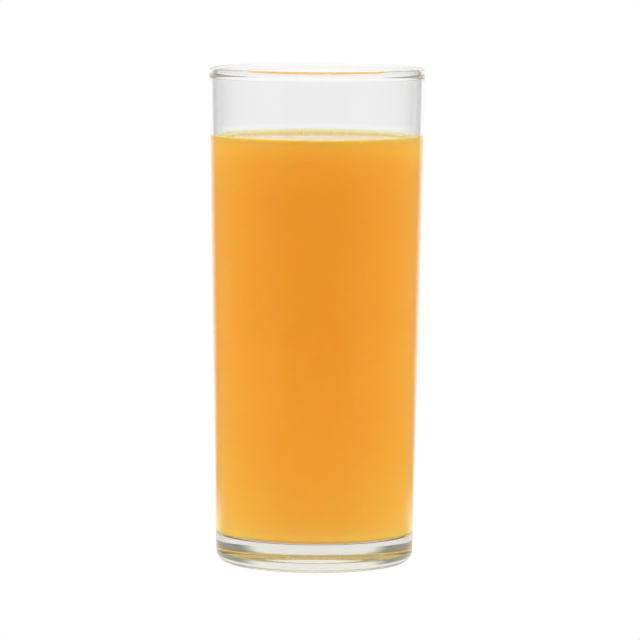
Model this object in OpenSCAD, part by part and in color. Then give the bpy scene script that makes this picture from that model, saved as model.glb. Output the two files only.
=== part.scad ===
// Tall tumbler of clear glass with a heavy base, filled with orange juice.
// Both pieces are bodies of revolution about Z. The glass stands on z = 0.

/* [Glass] */
// Height of the glass from the standing ring to the top of the rim
glass_h = 140; // [100:1:200]
// Outside diameter of the wall at the rim, without the bead
top_d = 60.8; // [50:0.1:90]
// Outside diameter that the straight wall would have at the standing ring
bottom_d = 55.6; // [44:0.1:84]
// Thickness of the wall at the rim
wall_top = 1.2; // [0.9:0.1:1.7]
// Thickness of the wall at the floor
wall_bottom = 1.6; // [1:0.1:4]

/* [Rim] */
// Thickness of the rounded bead on the rim
bead_t = 2.0; // [1.9:0.1:3]
// How far the bead stands out from the outer wall
bead_proud = 0.2; // [0.1:0.05:0.4]

/* [Base] */
// Height of the inner floor above the standing ring
base_t = 8; // [5:0.5:16]
// Radius of the outer heel
heel_r = 3.6; // [1:0.1:5]
// Radius of the corner between the floor and the inner wall
floor_r = 3; // [1:0.1:6]
// Width of the flat standing ring
ring_w = 2.4; // [1:0.1:5]
// Rise of the hollow under the base at its middle
hollow_h = 1.5; // [0.5:0.1:3]

/* [Juice] */
// Free height between the juice's flat surface and the top of the rim
headroom = 19.9; // [6:0.1:60]
// How far the juice climbs the wall above its flat surface
climb_h = 1.2; // [0.5:0.1:3]
// How far in from the wall the climb begins
climb_w = 4; // [3:0.5:10]
// Clearance between the juice and the glass
fit_gap = 0.05; // [0.01:0.01:0.1]

/* [Hidden] */
$fn = 144;

arc_steps = 12;   // straight steps in a quarter-turn corner
bead_steps = 24;  // straight steps around the bead
climb_steps = 10; // straight steps up the juice's edge
dome_steps = 12;  // straight steps across the hollow under the base

bead_r = bead_t / 2;
bead_z = glass_h - bead_r;                   // height of the bead's centre
bead_x = top_d / 2 + bead_proud - bead_r;    // radius of the bead's centre circle

// Radius of the outer wall at height z
function outer_r(z) = bottom_d / 2 + (top_d - bottom_d) / 2 * z / glass_h;
// Thickness of the wall at height z
function wall_at(z) = wall_bottom + (wall_top - wall_bottom) * (z - base_t) / (glass_h - base_t);
// Radius of the inner wall at height z
function inner_r(z) = outer_r(z) - wall_at(z);
// Angle from upright of a wall whose radius at height z is given by two heights 1 mm apart
function lean(r_low, r_high) = atan(r_high - r_low);

lean_out = lean(outer_r(0), outer_r(1));
lean_in = lean(inner_r(0), inner_r(1));

// Points of an arc of radius r about [x, z], from angle a to angle b in n steps
function arc(x, z, r, a, b, n) =
    [for (i = [0:n]) let (t = a + (b - a) * i / n) [x + r * cos(t), z + r * sin(t)]];

// The outer heel touches both the standing ring's plane and the leaning wall
heel_x = outer_r(heel_r * (1 - sin(lean_out))) - heel_r * cos(lean_out);
ring_in = heel_x - ring_w;

// The inner corner touches both the floor and the leaning inner wall
corner_z = base_t + floor_r;
corner_x = inner_r(corner_z - floor_r * sin(lean_in)) - floor_r * cos(lean_in);

// Where the outer and inner walls run into the bead, as angles on the bead
bead_out = -acos((outer_r(bead_z) - bead_x) / bead_r);
bead_in = 180 + acos((bead_x - inner_r(bead_z)) / bead_r);

// Height of the domed hollow under the base at radius r
function hollow_z(r) = hollow_h * (1 - pow(r / ring_in, 2));

// Outline of the glass, from the middle of the underside round to the middle of the floor
glass_outline = concat(
    [for (i = [0:dome_steps - 1]) let (r = ring_in * i / dome_steps) [r, hollow_z(r)]],
    [[ring_in, 0]],
    arc(heel_x, heel_r, heel_r, -90, -lean_out, arc_steps),
    arc(bead_x, bead_z, bead_r, bead_out, bead_in, bead_steps),
    arc(corner_x, corner_z, floor_r, -lean_in, -90, arc_steps),
    [[0, base_t]]
);

level_h = glass_h - headroom; // height of the juice's flat surface

// The juice meets the wall at this height and radius
contact_z = level_h + climb_h;
contact_r = inner_r(contact_z) - fit_gap;

// Height of the juice's surface at a share s, 0 to 1, of the way in from the wall
function surface_z(s) = level_h + climb_h * pow(1 - s, 3);

// Outline of the juice, from the middle of its underside round to the middle of its surface
juice_outline = concat(
    [[0, base_t + fit_gap]],
    arc(corner_x, corner_z, floor_r - fit_gap, -90, -lean_in, arc_steps),
    [for (i = [0:climb_steps]) let (s = i / climb_steps) [contact_r - climb_w * s, surface_z(s)]],
    [[0, level_h]]
);

module glass() {
    color([0.90, 0.93, 0.92, 0.35])
    rotate_extrude()
    polygon(glass_outline);
}

module juice() {
    color([0.94, 0.62, 0.18])
    rotate_extrude()
    polygon(juice_outline);
}

glass();
juice();
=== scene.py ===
"""The looks of a tall tumbler of orange juice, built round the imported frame.

Each sub-assembly is a class that holds its sizes and builds and dresses its meshes; each finish is a frozen
dataclass that makes its material. Lengths are metres in the frame's own axes, +Z up, origin at the foot.
"""

import logging
import math
from collections.abc import Callable
from dataclasses import dataclass
from enum import Enum

import bmesh
import bpy
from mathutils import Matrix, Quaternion, Vector

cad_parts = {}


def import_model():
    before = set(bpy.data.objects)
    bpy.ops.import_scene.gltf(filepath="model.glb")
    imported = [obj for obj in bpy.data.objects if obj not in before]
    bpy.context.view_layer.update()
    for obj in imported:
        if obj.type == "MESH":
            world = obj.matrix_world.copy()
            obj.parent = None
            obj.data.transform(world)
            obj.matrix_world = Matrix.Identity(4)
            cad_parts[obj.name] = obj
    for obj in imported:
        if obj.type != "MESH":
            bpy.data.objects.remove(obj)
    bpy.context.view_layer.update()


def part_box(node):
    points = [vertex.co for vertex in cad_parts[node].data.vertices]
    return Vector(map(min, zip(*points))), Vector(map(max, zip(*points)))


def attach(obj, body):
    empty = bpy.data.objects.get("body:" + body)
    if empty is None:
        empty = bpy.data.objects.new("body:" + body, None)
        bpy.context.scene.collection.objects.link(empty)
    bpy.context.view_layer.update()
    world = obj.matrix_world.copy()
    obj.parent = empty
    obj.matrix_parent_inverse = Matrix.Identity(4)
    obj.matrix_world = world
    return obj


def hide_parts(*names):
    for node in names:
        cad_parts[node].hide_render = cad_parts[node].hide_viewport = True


LOG = logging.getLogger("juice_glass")
MM = 0.001
FULL_TURN = 2 * math.pi
CLOSE = 1e-7  # vertices nearer than this are one vertex
SHARP_TURN = 30.0  # degrees between two faces past which the edge shows

Point = tuple[float, float]
Colour = tuple[float, float, float]
Stops = tuple[tuple[float, Colour], ...]  # share of the way along a ramp, and the colour there
Step = tuple[float, float, float]  # where a change of glow starts and ends, and the glow on one side of it
Value = float | bpy.types.NodeSocket  # a plain number or a socket that gives one
Paint = tuple | bpy.types.NodeSocket  # a colour with its alpha or a socket that gives one

WHITE = (1.0, 1.0, 1.0, 1.0)


class Slot(Enum):
    """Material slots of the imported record."""

    GLASS = "clear_glass"
    JUICE = "orange_juice"


# ---------------------------------------------------------------------------------------------------------
# Outlines of bodies of revolution: lists of (radius, height) points


def arc(centre: Point, radius: float, start: float, end: float, steps: int) -> list[Point]:
    """Points along a circular arc.

    Args:
        centre: Radius and height of the arc's centre.
        radius: Radius of the arc.
        start: First angle in degrees, counted from outwards towards up.
        end: Last angle in degrees.
        steps: Number of straight steps.

    Returns:
        The points from the first angle to the last.
    """
    points = []
    for i in range(steps + 1):
        angle = math.radians(start + (end - start) * i / steps)
        points.append((centre[0] + radius * math.cos(angle), centre[1] + radius * math.sin(angle)))
    return points


def straight(start: Point, end: Point, steps: int) -> list[Point]:
    """Points inside a straight stretch, without its two ends.

    Args:
        start: Where the stretch starts.
        end: Where the stretch ends.
        steps: Number of equal steps.

    Returns:
        The points between the ends.
    """
    points = []
    for i in range(1, steps):
        share = i / steps
        points.append((start[0] + (end[0] - start[0]) * share, start[1] + (end[1] - start[1]) * share))
    return points


# ---------------------------------------------------------------------------------------------------------
# Builders of node trees


class NodeBuilder:
    """Adds nodes to one node tree and links them."""

    def __init__(self, tree: bpy.types.NodeTree) -> None:
        """Keeps the tree's nodes and links at hand.

        Args:
            tree: The tree to build in.
        """
        self.nodes = tree.nodes
        self.links = tree.links

    def node(self, kind: str, links: dict | None = None, **settings: object) -> bpy.types.Node:
        """Adds a node, sets its properties and fills its input sockets.

        Args:
            kind: Node type, such as ShaderNodeMath.
            links: Socket name or number to a value or to an output socket that feeds it.
            **settings: Properties of the node.

        Returns:
            The new node.
        """
        made = self.nodes.new(kind)
        for key, value in settings.items():
            setattr(made, key, value)
        for key, value in (links or {}).items():
            if isinstance(value, bpy.types.NodeSocket):
                self.links.new(value, made.inputs[key])
            else:
                made.inputs[key].default_value = value
        return made

    def math(self, operation: str, first: Value, second: Value = 0.0) -> bpy.types.NodeSocket:
        """Adds a Math node on two values or sockets and returns its result."""
        return self.node("ShaderNodeMath", {0: first, 1: second}, operation=operation).outputs[0]

    def times(self, first: Value, second: Value) -> bpy.types.NodeSocket:
        """Adds a product of two values or sockets and returns it."""
        return self.math("MULTIPLY", first, second)

    def less(self, first: Value, second: Value) -> bpy.types.NodeSocket:
        """Adds the first value less the second and returns it."""
        return self.math("SUBTRACT", first, second)

    def cylinder_point(self, radius: Value, angle: Value, height: Value) -> bpy.types.NodeSocket:
        """Adds the place at a radius, an angle about Z and a height.

        Args:
            radius: Distance from the axis.
            angle: Angle in radians, counted from +X towards +Y.
            height: Height.

        Returns:
            The place's socket.
        """
        x = self.times(radius, self.math("COSINE", angle))
        y = self.times(radius, self.math("SINE", angle))
        return self.node("ShaderNodeCombineXYZ", {"X": x, "Y": y, "Z": height}).outputs[0]


class Tree(NodeBuilder):
    """A Geometry Nodes tree with named inputs."""

    def __init__(self, name: str) -> None:
        """Starts a tree with a geometry input and output.

        Args:
            name: Name of the tree.
        """
        self.group = bpy.data.node_groups.new(name, "GeometryNodeTree")
        super().__init__(self.group)
        self.group.interface.new_socket("Geometry", in_out="INPUT", socket_type="NodeSocketGeometry")
        self.group.interface.new_socket("Geometry", in_out="OUTPUT", socket_type="NodeSocketGeometry")
        self.inputs = self.nodes.new("NodeGroupInput")
        self.output = self.nodes.new("NodeGroupOutput")

    def input(self, name: str, kind: str = "Float") -> bpy.types.NodeSocket:
        """Adds a named input.

        Args:
            name: Name of the input.
            kind: Last part of its socket type, such as Int.

        Returns:
            The new socket on the group input node.
        """
        self.group.interface.new_socket(name, in_out="INPUT", socket_type="NodeSocket" + kind)
        return self.inputs.outputs[name]

    def random(self, high: float, seed: bpy.types.NodeSocket) -> bpy.types.NodeSocket:
        """Adds a random number from 0 for every element.

        Args:
            high: Largest value.
            seed: Socket of the seed.

        Returns:
            The number's socket.
        """
        # a Random Value node's socket numbers 2 and 3 and output 1 are those of its plain numbers
        made = self.node("FunctionNodeRandomValue", {2: 0.0, 3: high, "Seed": seed}, data_type="FLOAT")
        return made.outputs[1]

    def finish(self, geometry: bpy.types.NodeSocket, material: bpy.types.NodeSocket) -> None:
        """Ends the tree in smooth shading, Realize Instances and Set Material.

        Args:
            geometry: The geometry to give out.
            material: The socket that holds the material.
        """
        smooth = self.node("GeometryNodeSetShadeSmooth", {"Geometry": geometry})
        real = self.node("GeometryNodeRealizeInstances", {"Geometry": smooth.outputs[0]})
        dressed = self.node("GeometryNodeSetMaterial", {"Geometry": real.outputs[0], "Material": material})
        self.links.new(dressed.outputs[0], self.output.inputs[0])


class ShaderTree(NodeBuilder):
    """A material's or a world's node tree."""

    def ramp(self, value: Value, start: float, end: float, low: Value, high: Value) -> bpy.types.NodeSocket:
        """Adds a soft change from one level to another as a value grows.

        Args:
            value: The value that is watched.
            start: Where the change starts.
            end: Where the change ends.
            low: Level before the change.
            high: Level after the change.

        Returns:
            The level's socket.
        """
        links = {0: value, 1: start, 2: end, 3: low, 4: high}
        return self.node("ShaderNodeMapRange", links, interpolation_type="SMOOTHSTEP").outputs[0]

    def by_path(self, shown: Value, lighting: Value) -> bpy.types.NodeSocket:
        """Chooses between two levels by the way that a ray has come.

        Args:
            shown: What the camera, mirrors and clear glass show.
            lighting: What lights rays that the juice has scattered.

        Returns:
            The level's socket.
        """
        depth = self.node("ShaderNodeLightPath").outputs["Diffuse Depth"]
        scattered = self.math("GREATER_THAN", depth, 0.5)  # 1 after the first scattering, else 0
        return self.node("ShaderNodeMix", {0: scattered, 2: shown, 3: lighting}).outputs[0]

    def mix_colours(
        self, factor: Value, first: Paint, second: Paint, blend: str = "MIX"
    ) -> bpy.types.NodeSocket:
        """Mixes two colours.

        Args:
            factor: Number or socket that is 0 for the first colour and 1 for the mix with the second.
            first: First colour or its socket.
            second: Second colour or its socket.
            blend: Way of mixing.

        Returns:
            The mixed colour's socket.
        """
        # a Mix node's colour sockets are numbers 6, 7 and output 2: its number sockets share their names
        links = {0: factor, 6: first, 7: second}
        return self.node("ShaderNodeMix", links, data_type="RGBA", blend_type=blend).outputs[2]


class Shader(ShaderTree):
    """A material that starts with one Principled shader."""

    def __init__(self, name: str) -> None:
        """Starts the material.

        Args:
            name: Name of the material.
        """
        self.material = bpy.data.materials.new(name)
        self.material.use_nodes = True
        super().__init__(self.material.node_tree)
        self.principled = self.nodes["Principled BSDF"]
        self.output = self.nodes["Material Output"]

    def set(self, **values: object) -> None:
        """Sets plain values on the Principled shader's own sockets, with _ for each space in their names."""
        for key, value in values.items():
            self.principled.inputs[key.replace("_", " ")].default_value = value

    def surface(self, shader: bpy.types.NodeSocket) -> None:
        """Makes a shader the material's surface."""
        self.links.new(shader, self.output.inputs["Surface"])

    def glow(self, strength: Value, colour: Paint = WHITE) -> bpy.types.Material:
        """Turns the material into a plain glow.

        Args:
            strength: Strength of the glow.
            colour: Colour of the glow.

        Returns:
            The material.
        """
        emission = self.node("ShaderNodeEmission", {"Color": colour, "Strength": strength})
        self.nodes.remove(self.principled)
        self.surface(emission.outputs[0])
        return self.material


def run_tree(name: str, source: bpy.types.Mesh, tree: Tree, values: dict) -> bpy.types.Object:
    """Runs a tree on a mesh and returns the result as a plain object with no modifier.

    Args:
        name: Name of the piece.
        source: The mesh that the tree starts from.
        tree: The tree to run.
        values: Input name to value.

    Returns:
        The finished object, linked to the scene.
    """
    carrier = bpy.data.objects.new(name + "_source", source)
    bpy.context.scene.collection.objects.link(carrier)
    modifier = carrier.modifiers.new("shape", "NODES")
    modifier.node_group = tree.group
    for item in tree.group.interface.items_tree:
        if item.item_type == "SOCKET" and item.in_out == "INPUT" and item.name in values:
            modifier[item.identifier] = values[item.name]
    depsgraph = bpy.context.evaluated_depsgraph_get()
    mesh = bpy.data.meshes.new_from_object(carrier.evaluated_get(depsgraph))
    bpy.data.objects.remove(carrier)
    mesh.name = name
    material = mesh.materials[-1]
    mesh.polygons.foreach_set("material_index", [0] * len(mesh.polygons))
    mesh.materials.clear()
    mesh.materials.append(material)
    piece = bpy.data.objects.new(name, mesh)
    bpy.context.scene.collection.objects.link(piece)
    return piece


def chain_mesh(name: str, points: list[Point]) -> bpy.types.Mesh:
    """A mesh of loose edges that joins the points of an outline, radius along X and height along Z.

    Args:
        name: Name of the mesh.
        points: The outline.

    Returns:
        The mesh.
    """
    mesh = bpy.data.meshes.new(name)
    edges = [(i, i + 1) for i in range(len(points) - 1)]
    mesh.from_pydata([(r, 0.0, z) for r, z in points], edges, [])
    return mesh


def close_outwards(piece: bpy.types.Object) -> None:
    """Merges a turned piece's seam and poles, points its faces outwards and keeps its sharp edges.

    Args:
        piece: The piece, which is changed in place.
    """
    work = bmesh.new()
    work.from_mesh(piece.data)
    bmesh.ops.remove_doubles(work, verts=work.verts, dist=CLOSE)
    bmesh.ops.dissolve_degenerate(work, edges=work.edges, dist=CLOSE)
    bmesh.ops.recalc_face_normals(work, faces=work.faces)
    if work.calc_volume(signed=True) < 0:
        bmesh.ops.reverse_faces(work, faces=work.faces)
    work.to_mesh(piece.data)
    work.free()
    piece.data.set_sharp_from_angle(angle=math.radians(SHARP_TURN))


# ---------------------------------------------------------------------------------------------------------
# Geometry Nodes trees

NOISE_DETAIL = 1.0
NOISE_ROUGHNESS = 0.4
NOISE_MIDDLE = 0.5  # the noise runs from 0 to 1
STILL_R = 10.0 * MM  # nearer to the axis than this the wander fades out
BUBBLE_ROUNDS = 2  # subdivisions of a bubble's ball
BUBBLE_LIFT = 0.95  # height of a bubble's middle above the surface, in its radii
CROWDING = 2.0  # power that draws the bubbles towards the wall
RARITY = 3.0  # power that makes large bubbles rare
CLIMB_POWER = 3.0  # power of the curve by which the juice climbs the wall


def lathe_tree() -> Tree:
    """A tree that turns an outline about Z and lets its surface wander a little, as pressed glass does.

    Returns:
        The tree, with the inputs Steps around, Wander, Wander scale, Seed and Material.
    """
    tree = Tree("turned_body")
    steps = tree.input("Steps around", "Int")
    wander = tree.input("Wander")
    scale = tree.input("Wander scale")
    seed = tree.input("Seed")
    material = tree.input("Material", "Material")
    outline = tree.inputs.outputs["Geometry"]
    count = tree.node("GeometryNodeAttributeDomainSize", {0: outline}).outputs["Point Count"]
    columns = tree.math("ADD", steps, 1.0)
    grid = tree.node("GeometryNodeMeshGrid", {"Vertices X": columns, "Vertices Y": count})
    index = tree.node("GeometryNodeInputIndex").outputs[0]
    along = tree.math("FLOORED_MODULO", index, count)
    turn = tree.math("FLOOR", tree.math("DIVIDE", tree.math("ADD", index, 0.5), count))
    angle = tree.times(tree.math("DIVIDE", turn, steps), FULL_TURN)
    place = tree.node("GeometryNodeInputPosition").outputs[0]
    sampled = tree.node(
        "GeometryNodeSampleIndex", {"Geometry": outline}, data_type="FLOAT_VECTOR", domain="POINT"
    )
    tree.links.new(place, sampled.inputs["Value"])
    tree.links.new(along, sampled.inputs["Index"])
    parts = tree.node("ShaderNodeSeparateXYZ", {0: sampled.outputs[0]})
    radius, height = parts.outputs["X"], parts.outputs["Z"]
    turned = tree.cylinder_point(radius, angle, height)
    noise = tree.node(
        "ShaderNodeTexNoise",
        {"Vector": turned, "W": seed, "Scale": scale, "Detail": NOISE_DETAIL, "Roughness": NOISE_ROUGHNESS},
        noise_dimensions="4D",
    ).outputs["Fac"]
    shift = tree.times(tree.less(noise, NOISE_MIDDLE), wander)
    faded = tree.times(shift, tree.math("MINIMUM", tree.times(radius, 1.0 / STILL_R), 1.0))
    moved = tree.cylinder_point(tree.math("ADD", radius, faded), angle, height)
    shaped = tree.node("GeometryNodeSetPosition", {"Geometry": grid.outputs["Mesh"], "Position": moved})
    tree.finish(shaped.outputs[0], material)
    return tree


def froth_tree() -> Tree:
    """A tree that sets small round bubbles along the edge of the drink's surface.

    Returns:
        The tree, with the inputs Count, Edge radius, Edge height, Inset, Spread, Climb, Climb width,
        Smallest, Largest, Seed and Material.
    """
    tree = Tree("froth")
    count = tree.input("Count", "Int")
    edge_r = tree.input("Edge radius")
    edge_z = tree.input("Edge height")
    inset = tree.input("Inset")
    spread = tree.input("Spread")
    climb = tree.input("Climb")
    climb_width = tree.input("Climb width")
    smallest = tree.input("Smallest")
    largest = tree.input("Largest")
    seed = tree.input("Seed", "Int")
    material = tree.input("Material", "Material")
    angle = tree.random(FULL_TURN, seed)
    crowd = tree.math("POWER", tree.random(1.0, tree.math("ADD", seed, 1.0)), CROWDING)
    inwards = tree.math("ADD", inset, tree.times(crowd, spread))
    rest = tree.less(1.0, tree.math("DIVIDE", inwards, climb_width))
    drop = tree.times(climb, tree.less(1.0, tree.math("POWER", rest, CLIMB_POWER)))
    size = tree.math("POWER", tree.random(1.0, tree.math("ADD", seed, 2.0)), RARITY)
    ball = tree.math("ADD", smallest, tree.times(tree.less(largest, smallest), size))
    height = tree.math("ADD", tree.less(edge_z, drop), tree.times(ball, BUBBLE_LIFT))
    place = tree.cylinder_point(tree.less(edge_r, inwards), angle, height)
    points = tree.node("GeometryNodePoints", {"Count": count, "Position": place, "Radius": ball})
    bubble = tree.node("GeometryNodeMeshIcoSphere", {"Radius": 1.0, "Subdivisions": BUBBLE_ROUNDS})
    sizes = tree.node("GeometryNodeInputRadius").outputs[0]
    placed = tree.node(
        "GeometryNodeInstanceOnPoints",
        {"Points": points.outputs[0], "Instance": bubble.outputs["Mesh"], "Scale": sizes},
    )
    tree.finish(placed.outputs[0], material)
    return tree


# ---------------------------------------------------------------------------------------------------------
# Finishes


@dataclass(frozen=True)
class ClearGlass:
    """Clear soda-lime glass with a faint grey-green cast where the light travels far through it."""

    name: str = "tumbler_glass"
    ior: float = 1.51
    cast: tuple = (0.62, 0.60, 0.45, 1.0)
    density: float = 9.0  # per metre

    def material(self) -> bpy.types.Material:
        """The finish as a material.

        Returns:
            The material.
        """
        shader = Shader(self.name)
        shader.set(Base_Color=WHITE, Roughness=0.0, IOR=self.ior, Transmission_Weight=1.0)
        depth = shader.node("ShaderNodeVolumeAbsorption", {"Color": self.cast, "Density": self.density})
        shader.links.new(depth.outputs[0], shader.output.inputs["Volume"])
        return shader.material


@dataclass(frozen=True)
class CloudyJuice:
    """Smooth orange juice: red light goes far in it, green light less and blue light least.

    Its colour by height has painted light and shade in it, as the stops of the ramp say: yellower towards its
    floor and its surface, where more light gets in, and painted dimmer at the very floor and the highest
    edge.
    Each stop is a share of the way from the juice's floor to its highest edge, and the colour there.
    """

    name: str
    low: float
    high: float
    stops: Stops
    cloud_scale: float = 40.0
    cloud_detail: float = 3.0
    cloud_depth: float = 0.10
    depth: float = 1.0  # share of the light that goes into it before it is scattered
    reach: float = 1.0 * MM
    reach_by_colour: Colour = (8.0, 4.0, 2.0)
    ior: float = 1.33
    roughness: float = 0.05
    gloss: float = 0.5
    against_glass: bool = False  # light inside glass that meets the juice at a slant is mirrored by it
    step_into_juice: float = 0.9  # index of the juice over that of the glass

    def colour(self, shader: Shader) -> bpy.types.NodeSocket:
        """The colour by height, with painted light and shade in it and faint clouds.

        Args:
            shader: The material's builder.

        Returns:
            The colour's socket.
        """
        place = shader.node("ShaderNodeTexCoord").outputs["Object"]
        height = shader.node("ShaderNodeSeparateXYZ", {0: place}).outputs["Z"]
        share = shader.node("ShaderNodeMapRange", {0: height, 1: self.low, 2: self.high, 3: 0.0, 4: 1.0})
        # painted light and shade: the ramp's colour by height stands in for how light falls through the juice
        ramp = shader.node("ShaderNodeValToRGB", {0: share.outputs[0]})
        points = ramp.color_ramp.elements
        for number, (position, colour) in enumerate(self.stops):
            point = points[number] if number < len(points) else points.new(position)
            point.position = position
            point.color = colour + (1.0,)
        cloud = shader.node(
            "ShaderNodeTexNoise", {"Vector": place, "Scale": self.cloud_scale, "Detail": self.cloud_detail}
        )
        thin, thick = 1.0 - self.cloud_depth / 2, 1.0 + self.cloud_depth / 2
        links = {0: cloud.outputs["Fac"], 1: 0.0, 2: 1.0, 3: thin, 4: thick}
        dim = shader.node("ShaderNodeMapRange", links).outputs[0]
        veil = shader.node("ShaderNodeCombineColor", {0: 1.0, 1: dim, 2: dim}).outputs[0]
        return shader.mix_colours(1.0, ramp.outputs[0], veil, "MULTIPLY")

    def material(self) -> bpy.types.Material:
        """The finish as a material.

        Returns:
            The material.
        """
        shader = Shader(self.name)
        shader.links.new(self.colour(shader), shader.principled.inputs["Base Color"])
        shader.set(
            Roughness=self.roughness,
            IOR=self.ior,
            Specular_IOR_Level=0.0 if self.against_glass else self.gloss,
            Subsurface_Weight=self.depth,
            Subsurface_Scale=self.reach,
            Subsurface_Radius=self.reach_by_colour,
        )
        if self.against_glass:
            slant = shader.node("ShaderNodeFresnel", {"IOR": self.step_into_juice})
            mirror = shader.node("ShaderNodeBsdfAnisotropic", {"Color": WHITE, "Roughness": 0.0})
            links = {0: slant.outputs[0], 1: shader.principled.outputs[0], 2: mirror.outputs[0]}
            shader.surface(shader.node("ShaderNodeMixShader", links).outputs[0])
        return shader.material


@dataclass(frozen=True)
class BubbleFilm:
    """Thin pale film of the froth's bubbles."""

    name: str = "bubble_film"
    colour: tuple = (0.95, 0.83, 0.50, 1.0)
    roughness: float = 0.06
    ior: float = 1.33

    def material(self) -> bpy.types.Material:
        """The finish as a material.

        Returns:
            The material.
        """
        shader = Shader(self.name)
        shader.set(Base_Color=self.colour, Roughness=self.roughness, IOR=self.ior)
        return shader.material


# Painted light and shade on the juice's own orange, from its floor, painted dim as in shade, to its highest
# edge: painted yellower near the floor and the surface where light comes in, and painted darker at the top
# edge
JUICE_PAINTED_LIGHT_STOPS: Stops = (
    (0.00, (0.44, 0.25, 0.06)),
    (0.002, (0.46, 0.26, 0.06)),
    (0.011, (0.94, 0.53, 0.105)),
    (0.07, (0.960, 0.478, 0.065)),
    (0.24, (0.975, 0.434, 0.048)),
    (0.55, (0.982, 0.415, 0.0425)),
    (0.85, (0.984, 0.415, 0.0425)),
    (0.935, (0.980, 0.450, 0.050)),
    (0.968, (0.965, 0.510, 0.066)),
    (0.984, (0.84, 0.485, 0.090)),
    (0.993, (0.70, 0.40, 0.09)),
    (1.00, (0.48, 0.26, 0.08)),
)
# Painted backlight, from the flat middle of the free surface to the thin film where it meets the glass:
# painted paler towards the glass, where light from behind shows through the thin film
SURFACE_PAINTED_BACKLIGHT_STOPS: Stops = (
    (0.00, (0.94, 0.47, 0.065)),
    (0.08, (0.96, 0.64, 0.18)),
    (0.35, (0.97, 0.79, 0.38)),
    (0.70, (0.98, 0.90, 0.66)),
    (0.92, (0.98, 0.96, 0.92)),
)


# ---------------------------------------------------------------------------------------------------------
# Sub-assemblies


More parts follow.
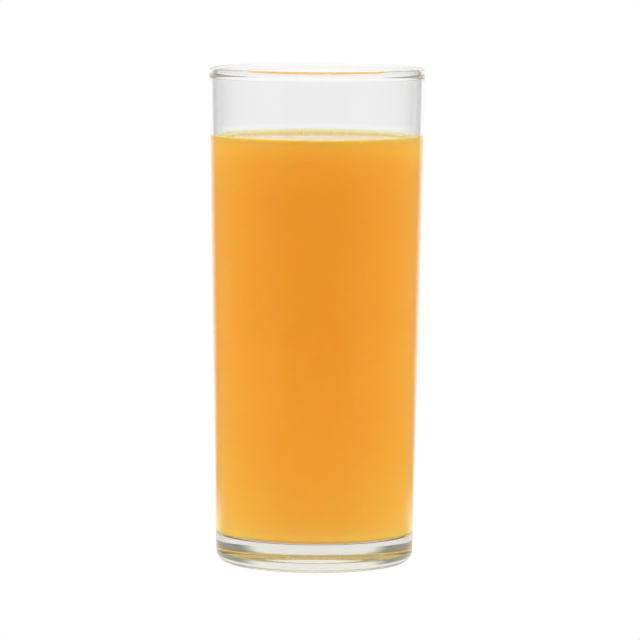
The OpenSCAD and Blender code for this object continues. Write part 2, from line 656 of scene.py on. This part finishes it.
@dataclass
class Tumbler:
    """The glass: bead on the rim, tapered wall, heavy base, heel, standing ring and hollow."""

    height: float
    rim_r: float
    proud: float = 0.2 * MM
    bottom_r: float = 27.8 * MM
    wall_top: float = 1.2 * MM
    wall_bottom: float = 1.6 * MM
    bead_r: float = 1.0 * MM
    bead_blend_out: float = 2.0 * MM
    bead_blend_in: float = 3.0 * MM
    base: float = 8.0 * MM
    heel: float = 3.6 * MM
    corner: float = 3.0 * MM
    ring: float = 2.4 * MM
    hollow: float = 1.5 * MM
    steps_around: int = 240
    blend_steps: int = 6
    bead_steps: int = 40
    wall_steps: int = 40
    round_steps: int = 16  # round the heel and the floor's corner
    dome_steps: int = 24
    floor_steps: int = 8
    wander: float = 0.04 * MM
    wander_scale: float = 45.0
    seed: float = 3.0
    finish: ClearGlass = ClearGlass()

    @classmethod
    def from_frame(cls) -> "Tumbler":
        """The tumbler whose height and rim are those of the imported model."""
        low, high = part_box("glass")
        return cls(height=high[2] - low[2], rim_r=(high[0] - low[0]) / 2)

    def outer(self, z: float) -> float:
        """Radius of the outer wall at a height."""
        top_r = self.rim_r - self.proud
        return self.bottom_r + (top_r - self.bottom_r) * z / self.height

    def wall(self, z: float) -> float:
        """Thickness of the wall at a height."""
        share = (z - self.base) / (self.height - self.base)
        return self.wall_bottom + (self.wall_top - self.wall_bottom) * share

    def inner(self, z: float) -> float:
        """Radius of the inner wall at a height."""
        return self.outer(z) - self.wall(z)

    def lean(self, radius_at: Callable[[float], float]) -> float:
        """Angle from upright, in degrees, of a wall given by its radius at each height."""
        return math.degrees(math.atan((radius_at(self.height) - radius_at(0.0)) / self.height))

    def corner_centre(self) -> Point:
        """Centre of the rounded corner between the floor and the inner wall.

        Returns:
            Its radius and height.
        """
        lean = math.radians(self.lean(self.inner))
        z = self.base + self.corner
        touch = z - self.corner * math.sin(lean)
        return (self.inner(touch) - self.corner * math.cos(lean), z)

    def blend(self, side: int, wall_x: float, radius: float) -> tuple[Point, float]:
        """The hollow arc by which the rim bead runs into one of the walls.

        Args:
            side: 1 outside and -1 inside.
            wall_x: Radius of that wall at the height of the bead's centre.
            radius: Radius of the arc.

        Returns:
            The arc's centre, and the slope in degrees of the line from it to the bead's centre.
        """
        across = side * (wall_x - self.rim_r + self.bead_r) + radius
        down = math.sqrt((self.bead_r + radius) ** 2 - across**2)
        centre = (wall_x + side * radius, self.height - self.bead_r - down)
        return centre, math.degrees(math.atan2(down, across))

    def bead(self) -> list[Point]:
        """The rounded bead with its blends into both walls.

        Returns:
            The points from outside over the top to inside.
        """
        x = self.rim_r - self.bead_r
        z = self.height - self.bead_r
        outer, outer_slope = self.blend(1, self.outer(z), self.bead_blend_out)
        inner, inner_slope = self.blend(-1, self.inner(z), self.bead_blend_in)
        lean_out, lean_in = self.lean(self.outer), self.lean(self.inner)
        points = arc(outer, self.bead_blend_out, 180 - lean_out, 180 - outer_slope, self.blend_steps)
        points += arc((x, z), self.bead_r, -outer_slope, 180 + inner_slope, self.bead_steps)[1:]
        points += arc(inner, self.bead_blend_in, inner_slope, -lean_in, self.blend_steps + 2)[1:]
        return points

    def outline(self) -> list[Point]:
        """Outline of the glass.

        Returns:
            The points from the middle of the underside round to the middle of the floor.
        """
        lean = math.radians(self.lean(self.outer))
        touch = self.heel * (1 - math.sin(lean))
        heel_x = self.outer(touch) - self.heel * math.cos(lean)
        ring_in = heel_x - self.ring
        points = []
        for i in range(self.dome_steps):
            r = ring_in * i / self.dome_steps
            points.append((r, self.hollow * (1 - (r / ring_in) ** 2)))
        points.append((ring_in, 0.0))
        heel = arc((heel_x, self.heel), self.heel, -90, -math.degrees(lean), self.round_steps)
        bead = self.bead()
        corner = arc(self.corner_centre(), self.corner, -self.lean(self.inner), -90, self.round_steps)
        points += heel
        points += straight(heel[-1], bead[0], self.wall_steps)
        points += bead
        points += straight(bead[-1], corner[0], self.wall_steps)
        points += corner
        points += straight(corner[-1], (0.0, self.base), self.floor_steps)
        points.append((0.0, self.base))
        return points

    def build(self, tree: Tree) -> bpy.types.Object:
        """Turns the glass and dresses it.

        Args:
            tree: The lathe tree.

        Returns:
            The glass as a plain object.
        """
        values = {
            "Steps around": self.steps_around,
            "Wander": self.wander,
            "Wander scale": self.wander_scale,
            "Seed": self.seed,
            "Material": self.finish.material(),
        }
        piece = run_tree("tumbler", chain_mesh("tumbler_outline", self.outline()), tree, values)
        close_outwards(piece)
        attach(piece, "root")
        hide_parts("glass")
        return piece


@dataclass
class Drink:
    """The juice, which reaches just into the wall so that no air gap shows."""

    tumbler: Tumbler
    contact_z: float
    climb: float = 1.2 * MM
    climb_width: float = 4.0 * MM
    bite: float = 0.15 * MM  # how far it reaches into the wall
    steps_around: int = 240
    wall_steps: int = 60
    climb_steps: int = 20
    surface_steps: int = 12
    facing_up: float = 0.5  # least rise of the normal of a face that belongs to the free surface
    below: float = 0.1 * MM  # how far under the surface's level the middle of such a face may lie

    @classmethod
    def from_frame(cls, tumbler: Tumbler) -> "Drink":
        """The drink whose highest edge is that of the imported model."""
        _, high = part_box("juice")
        return cls(tumbler=tumbler, contact_z=high[2])

    def surface_z(self, share: float) -> float:
        """Height of the free surface at a share, 0 to 1, of the way in from the wall."""
        return self.contact_z - self.climb * (1 - (1 - share) ** CLIMB_POWER)

    def outline(self) -> list[Point]:
        """Outline of the juice.

        Returns:
            The points from the middle of the underside round to the middle of the surface.
        """
        glass = self.tumbler
        lean = glass.lean(glass.inner)
        corner = arc(glass.corner_centre(), glass.corner + self.bite, -90, -lean, glass.round_steps)
        edge = (glass.inner(self.contact_z) + self.bite, self.contact_z)
        floor = (0.0, glass.base - self.bite)
        points = [floor]
        points += straight(floor, corner[0], glass.floor_steps)
        points += corner
        points += straight(corner[-1], edge, self.wall_steps)
        points.append(edge)
        wall_r = glass.inner(self.contact_z)
        for i in range(self.climb_steps + 1):
            share = i / self.climb_steps
            points.append((wall_r - self.climb_width * share, self.surface_z(share)))
        middle = (0.0, self.surface_z(1.0))
        points += straight(points[-1], middle, self.surface_steps)
        points.append(middle)
        return points

    def build(self, tree: Tree) -> bpy.types.Object:
        """Turns the juice and dresses its body and its free surface.

        Args:
            tree: The lathe tree.

        Returns:
            The juice as a plain object.
        """
        floor_z, level = self.tumbler.base, self.contact_z - self.climb
        # the body's colour by height holds painted light and shade: yellower where light gets in, dim at the
        # floor and the top edge
        body = CloudyJuice("cloudy_juice", floor_z, self.contact_z, JUICE_PAINTED_LIGHT_STOPS, against_glass=True)
        # the free surface's colour holds painted backlight: paler towards the glass, where light shows
        # through the thin film
        surface = CloudyJuice("juice_surface", level, self.contact_z, SURFACE_PAINTED_BACKLIGHT_STOPS, depth=0.0, roughness=0.0)
        values = {
            "Steps around": self.steps_around,
            "Wander": 0.0,
            "Material": body.material(),
        }
        piece = run_tree("orange_juice", chain_mesh("juice_outline", self.outline()), tree, values)
        close_outwards(piece)
        piece.data.materials.append(surface.material())
        for face in piece.data.polygons:
            if face.normal.z > self.facing_up and face.center.z > level - self.below:
                face.material_index = 1
        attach(piece, "root")
        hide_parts("juice")
        return piece


@dataclass
class Froth:
    """Tiny bubbles that cling to the wall along the edge of the juice."""

    drink: Drink
    count: int = 220
    inset: float = 0.5 * MM  # from the wall to the nearest bubble's middle
    spread: float = 3.0 * MM
    smallest: float = 0.05 * MM
    largest: float = 0.22 * MM
    seed: int = 11

    def build(self, tree: Tree) -> bpy.types.Object:
        """Sets the bubbles and dresses them.

        Args:
            tree: The froth tree.

        Returns:
            All the bubbles as one plain object.
        """
        drink = self.drink
        values = {
            "Count": self.count,
            "Edge radius": drink.tumbler.inner(drink.contact_z),
            "Edge height": drink.contact_z,
            "Inset": self.inset,
            "Spread": self.spread,
            "Climb": drink.climb,
            "Climb width": drink.climb_width,
            "Smallest": self.smallest,
            "Largest": self.largest,
            "Seed": self.seed,
            "Material": BubbleFilm().material(),
        }
        piece = run_tree("froth", bpy.data.meshes.new("froth_source"), tree, values)
        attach(piece, "root")
        return piece


# ---------------------------------------------------------------------------------------------------------
# Studio


@dataclass(frozen=True)
class Glow:
    """An even glow, as of a lit opal sheet, that lights the juice more than it shows in the glass."""

    name: str
    shown: float = 1.0
    lighting: float = 1.8  # on light that the juice has scattered

    def material(self) -> bpy.types.Material:
        """The glow as a material."""
        shader = Shader(self.name)
        return shader.glow(shader.by_path(self.shown, self.lighting))


@dataclass(frozen=True)
class RoomCard:
    """The room round the glass: dark towards the camera, grey at the sides and white at the back.

    Each step of a round list is the angle from the camera, in degrees, where a change starts and ends, and
    the glow after it. The table is white round the glass and shaded under it, as the lists of far say: where
    a change starts and ends, in metres from the middle, and the glow before it.
    """

    name: str
    shown_front: float = 0.02
    shown_steps: tuple[Step, ...] = ((36.0, 42.0, 0.14), (60.0, 140.0, 0.30), (142.0, 158.0, 1.0))
    shown_steps_near: tuple[Step, ...] = ((36.0, 42.0, 0.14), (60.0, 100.0, 0.30), (108.0, 135.0, 1.0))
    near: Point = (0.090, 0.200)  # metres over which the table round the glass gives way to the room
    shown_far: tuple[Step, ...] = ((0.045, 0.075, 1.0), (0.024, 0.034, 0.85))
    lighting_front: float = 1.16
    lighting_steps: tuple[Step, ...] = ((20.0, 110.0, 2.12),)
    lighting_far: tuple[Step, ...] = ((0.090, 0.350, 1.90), (0.024, 0.040, 1.03))
    side_tint: tuple = (1.0, 1.3, 1.05, 1.0)  # light that comes out of the juice's sides is yellower
    side: Point = (20.0, 110.0)  # degrees where the tint starts and is full

    def round_glow(self, shader: Shader, turn: Value, front: float, steps: tuple[Step, ...]) -> Value:
        """The glow at an angle from the camera.

        Args:
            shader: The material's builder.
            turn: The angle in radians.
            front: The glow straight towards the camera.
            steps: The changes in order round to the back.

        Returns:
            The glow's socket.
        """
        glow = front
        for start, end, level in steps:
            glow = shader.ramp(turn, math.radians(start), math.radians(end), glow, level)
        return glow

    def material(self) -> bpy.types.Material:
        """The card as a material.

        Returns:
            The material.
        """
        shader = Shader(self.name)
        place = shader.node("ShaderNodeTexCoord").outputs["Object"]
        parts = shader.node("ShaderNodeSeparateXYZ", {0: place}).outputs
        turn = shader.math("ABSOLUTE", shader.math("ARCTAN2", parts["X"], shader.times(parts["Y"], -1.0)))
        far = shader.node("ShaderNodeVectorMath", {0: place}, operation="LENGTH").outputs["Value"]
        table = self.round_glow(shader, turn, self.shown_front, self.shown_steps_near)
        levels = []
        for front, steps, zones in (
            (self.shown_front, self.shown_steps, (self.near + (table,),) + self.shown_far),
            (self.lighting_front, self.lighting_steps, self.lighting_far),
        ):
            level = self.round_glow(shader, turn, front, steps)
            for start, end, nearer in zones:
                level = shader.ramp(far, start, end, nearer, level)
            levels.append(level)
        start, full = self.side
        links = {0: turn, 1: math.radians(start), 2: math.radians(full), 3: 0.0, 4: 1.0}
        side = shader.node("ShaderNodeMapRange", links).outputs[0]
        tint = shader.mix_colours(shader.by_path(0.0, side), WHITE, self.side_tint)
        return shader.glow(shader.by_path(*levels), tint)


@dataclass(frozen=True)
class Lamp:
    """A small round lamp that shows only as a glint on the glass."""

    azimuth: float  # degrees from the camera, counted towards its right
    rise: float  # degrees above the table
    radius: float = 0.05
    far: float = 1.0
    corners: int = 24

    def mesh(self, name: str) -> bpy.types.Mesh:
        """A disc that faces the glass, for a camera at -Y.

        Args:
            name: Name of the mesh.

        Returns:
            The mesh.
        """
        turn, rise = math.radians(self.azimuth), math.radians(self.rise)
        towards = Vector((math.sin(turn) * math.cos(rise), -math.cos(turn) * math.cos(rise), math.sin(rise)))
        facing = towards.to_track_quat("Z", "Y")
        points = []
        for i in range(self.corners):
            angle = FULL_TURN * i / self.corners
            spoke = facing @ Vector((math.cos(angle), math.sin(angle), 0))
            points.append(spoke * self.radius + towards * self.far)
        mesh = bpy.data.meshes.new(name)
        mesh.from_pydata(points, [], [tuple(range(self.corners))])
        return mesh


@dataclass
class Studio:
    """A white table in a white room, cards that turn with the camera, and the camera."""

    height: float
    camera_far: float = 10.18  # this and the next three in heights of the glass
    camera_up: float = 1.438
    aim_up: float = 0.4904
    aim_side: float = 0.0087
    lens: float = 284.67  # millimetres, as is the sensor's width
    sensor: float = 36.0
    sight: Point = (0.05, 50.0)  # nearest and farthest that the camera sees
    roll: float = 0.361  # degrees
    fill: float = 2.03  # how strongly the room's walls light the juice
    bounces: int = 40  # light is mirrored to and fro many times inside the base and the rim
    scatterings: int = 8
    overhead_shown: float = 0.95  # how bright the room is above, 1 being its walls
    overhead: float = 1.0  # how strongly the room above lights the juice
    ceiling_starts: float = 0.45  # rise of a ray of length 1
    ceiling_full: float = 0.75
    wall_r: float = 1.2
    wall_top: float = 1.0
    floor_r: float = 0.0001  # the card on the table has no more than a pinhole in its middle
    gap: float = 0.0002  # between the glass's foot and the card on the table
    table_z: float = -0.0005
    table_half: float = 4.0
    corners: int = 96  # round the cards
    lamps: tuple = (Lamp(azimuth=-10.0, rise=50.0), Lamp(azimuth=12.5, rise=50.0))
    lamp_glow: float = 12.0

    def add(self, name: str, mesh: bpy.types.Mesh, material: bpy.types.Material) -> bpy.types.Object:
        """Adds a mesh to the scene as a part of the stage.

        Args:
            name: Name of the object.
            mesh: Its mesh.
            material: Its material.

        Returns:
            The object.
        """
        mesh.materials.append(material)
        item = bpy.data.objects.new(name, mesh)
        bpy.context.scene.collection.objects.link(item)
        return item

    def turn_with(self, camera: bpy.types.Object, item: bpy.types.Object) -> None:
        """Lets a card turn about Z with the camera, unseen by it, so that it shows only in mirrors and glass.

        Args:
            camera: The camera.
            item: The card.
        """
        follow = item.constraints.new("LOCKED_TRACK")
        follow.target = camera
        follow.track_axis = "TRACK_NEGATIVE_Y"
        follow.lock_axis = "LOCK_Z"
        item.visible_camera = False
        item.visible_shadow = False

    def table(self) -> bpy.types.Mesh:
        """The square top of the table.

        Returns:
            Its mesh.
        """
        half = self.table_half
        plan = ((-half, -half), (half, -half), (half, half), (-half, half))
        corners = [(x, y, self.table_z) for x, y in plan]
        mesh = bpy.data.meshes.new("table")
        mesh.from_pydata(corners, [], [(0, 1, 2, 3)])
        return mesh

    def band(self, name: str, start: Point, end: Point) -> bpy.types.Mesh:
        """A band all round the glass.

        Args:
            name: Name of the mesh.
            start: Radius and height of one of its edges.
            end: Radius and height of the other.

        Returns:
            The mesh.
        """
        points = []
        faces = []
        for i in range(self.corners):
            turn = FULL_TURN * i / self.corners
            points += [(r * math.cos(turn), r * math.sin(turn), z) for r, z in (start, end)]
            after = 2 * ((i + 1) % self.corners)
            faces.append((2 * i, 2 * i + 1, after + 1, after))
        mesh = bpy.data.meshes.new(name)
        mesh.from_pydata(points, [], faces)
        return mesh

    def world(self) -> None:
        """A white room, dimmer above."""
        world = bpy.data.worlds.new("studio")
        world.use_nodes = True
        shader = ShaderTree(world.node_tree)
        back = shader.nodes["Background"]
        place = shader.node("ShaderNodeTexCoord").outputs["Generated"]
        rise = shader.node("ShaderNodeSeparateXYZ", {0: place}).outputs["Z"]
        levels = []
        for low, high in ((1.0, self.overhead_shown), (self.fill, self.overhead)):
            levels.append(shader.ramp(rise, self.ceiling_starts, self.ceiling_full, low, high))
        shader.links.new(shader.by_path(*levels), back.inputs["Strength"])
        back.inputs["Color"].default_value = WHITE
        bpy.context.scene.world = world

    def camera(self) -> bpy.types.Object:
        """The camera, a little above the rim and a long way off.

        Returns:
            The camera.
        """
        h = self.height
        data = bpy.data.cameras.new("camera")
        data.sensor_width = self.sensor
        data.lens = self.lens
        data.clip_start, data.clip_end = self.sight
        camera = bpy.data.objects.new("camera", data)
        camera.location = (0, -self.camera_far * h, self.camera_up * h)
        aim = Vector((self.aim_side * h, 0, self.aim_up * h)) - camera.location
        camera.rotation_mode = "QUATERNION"
        roll = Quaternion((0, 0, 1), math.radians(self.roll))
        camera.rotation_quaternion = aim.to_track_quat("-Z", "Y") @ roll
        bpy.context.scene.collection.objects.link(camera)
        bpy.context.scene.camera = camera
        return camera

    def build(self) -> None:
        """Sets up the whole studio."""
        camera = self.camera()
        self.world()
        self.add("table", self.table(), Glow("white_table").material())
        wall = self.band("studio_wall", (self.wall_r, 0.0), (self.wall_r, self.wall_top))
        floor = self.band("floor_ring", (self.floor_r, -self.gap), (self.wall_r, -self.gap))
        card = RoomCard("room_card").material()
        for name, mesh in (("wall_card", wall), ("floor_card", floor)):
            self.turn_with(camera, self.add(name, mesh, card))
        lit = Glow("lamp_glow", self.lamp_glow, 0.0).material()
        for number, lamp in enumerate(self.lamps):
            name = f"lamp_{number}"
            item = self.add(name, lamp.mesh(name), lit)
            self.turn_with(camera, item)
            item.visible_diffuse = False
        scene = bpy.context.scene
        scene.view_settings.view_transform = "Standard"
        scene.cycles.max_bounces = self.bounces
        scene.cycles.glossy_bounces = self.bounces
        scene.cycles.transmission_bounces = self.bounces
        scene.cycles.diffuse_bounces = self.scatterings


def main() -> None:
    """Builds every piece in order and reports it."""
    logging.basicConfig(level=logging.INFO, format="%(name)s: %(message)s")
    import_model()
    lathe = lathe_tree()
    tumbler = Tumbler.from_frame()
    drink = Drink.from_frame(tumbler)
    for piece in (tumbler.build(lathe), drink.build(lathe), Froth(drink).build(froth_tree())):
        LOG.info("%s: %d faces", piece.name, len(piece.data.polygons))
    Studio(height=tumbler.height).build()


if __name__ == "__main__":
    main()
